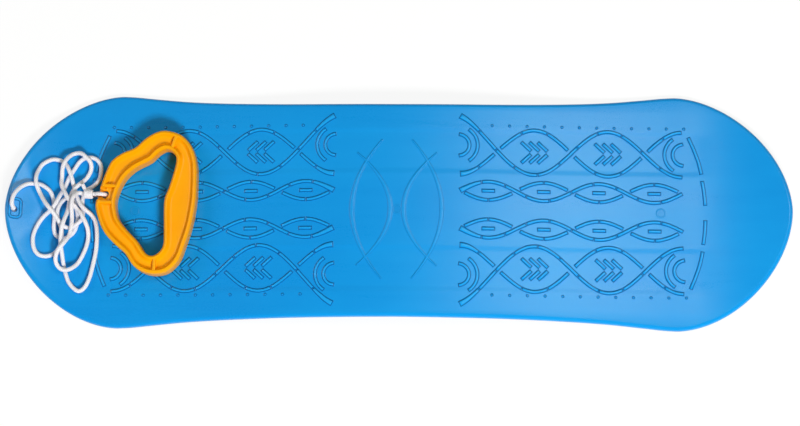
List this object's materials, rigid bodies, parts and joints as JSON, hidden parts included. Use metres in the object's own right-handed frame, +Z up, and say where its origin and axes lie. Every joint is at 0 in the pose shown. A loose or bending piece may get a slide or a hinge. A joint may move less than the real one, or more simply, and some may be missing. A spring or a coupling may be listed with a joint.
{
  "type": "plastic snowboard",
  "caption": "Child's moulded plastic snowboard with raised ends, guide keels, a raised deck tread, a looped tow cord and a lifting hand grip.",
  "frame": {"origin": "on the ground under the middle of the board", "axes": "-X towards the nose with the cord hole, +X towards the tail, +Z up out of the deck"},
  "size_m": [0.718, 0.2172, 0.0279],
  "materials": {
    "blue_plastic": "satin",
    "orange_plastic": "satin",
    "white_cord": "matte"
  },
  "bodies": {
    "board": {"board": "blue_plastic", "tow_cord": "white_cord", "nose_knot": "white_cord", "grip_loop": "white_cord", "grip_knot": "white_cord"},
    "grip": {"hand_grip": "orange_plastic"}
  },
  "joints": [
    {"name": "grip_lift", "type": "hinge", "parent": "board", "child": "grip", "pos_m": [-0.27121, 0.01276, 0.0154], "axis": [-0.0698, -0.9976, 0], "range_deg": [0, 90]}
  ]
}
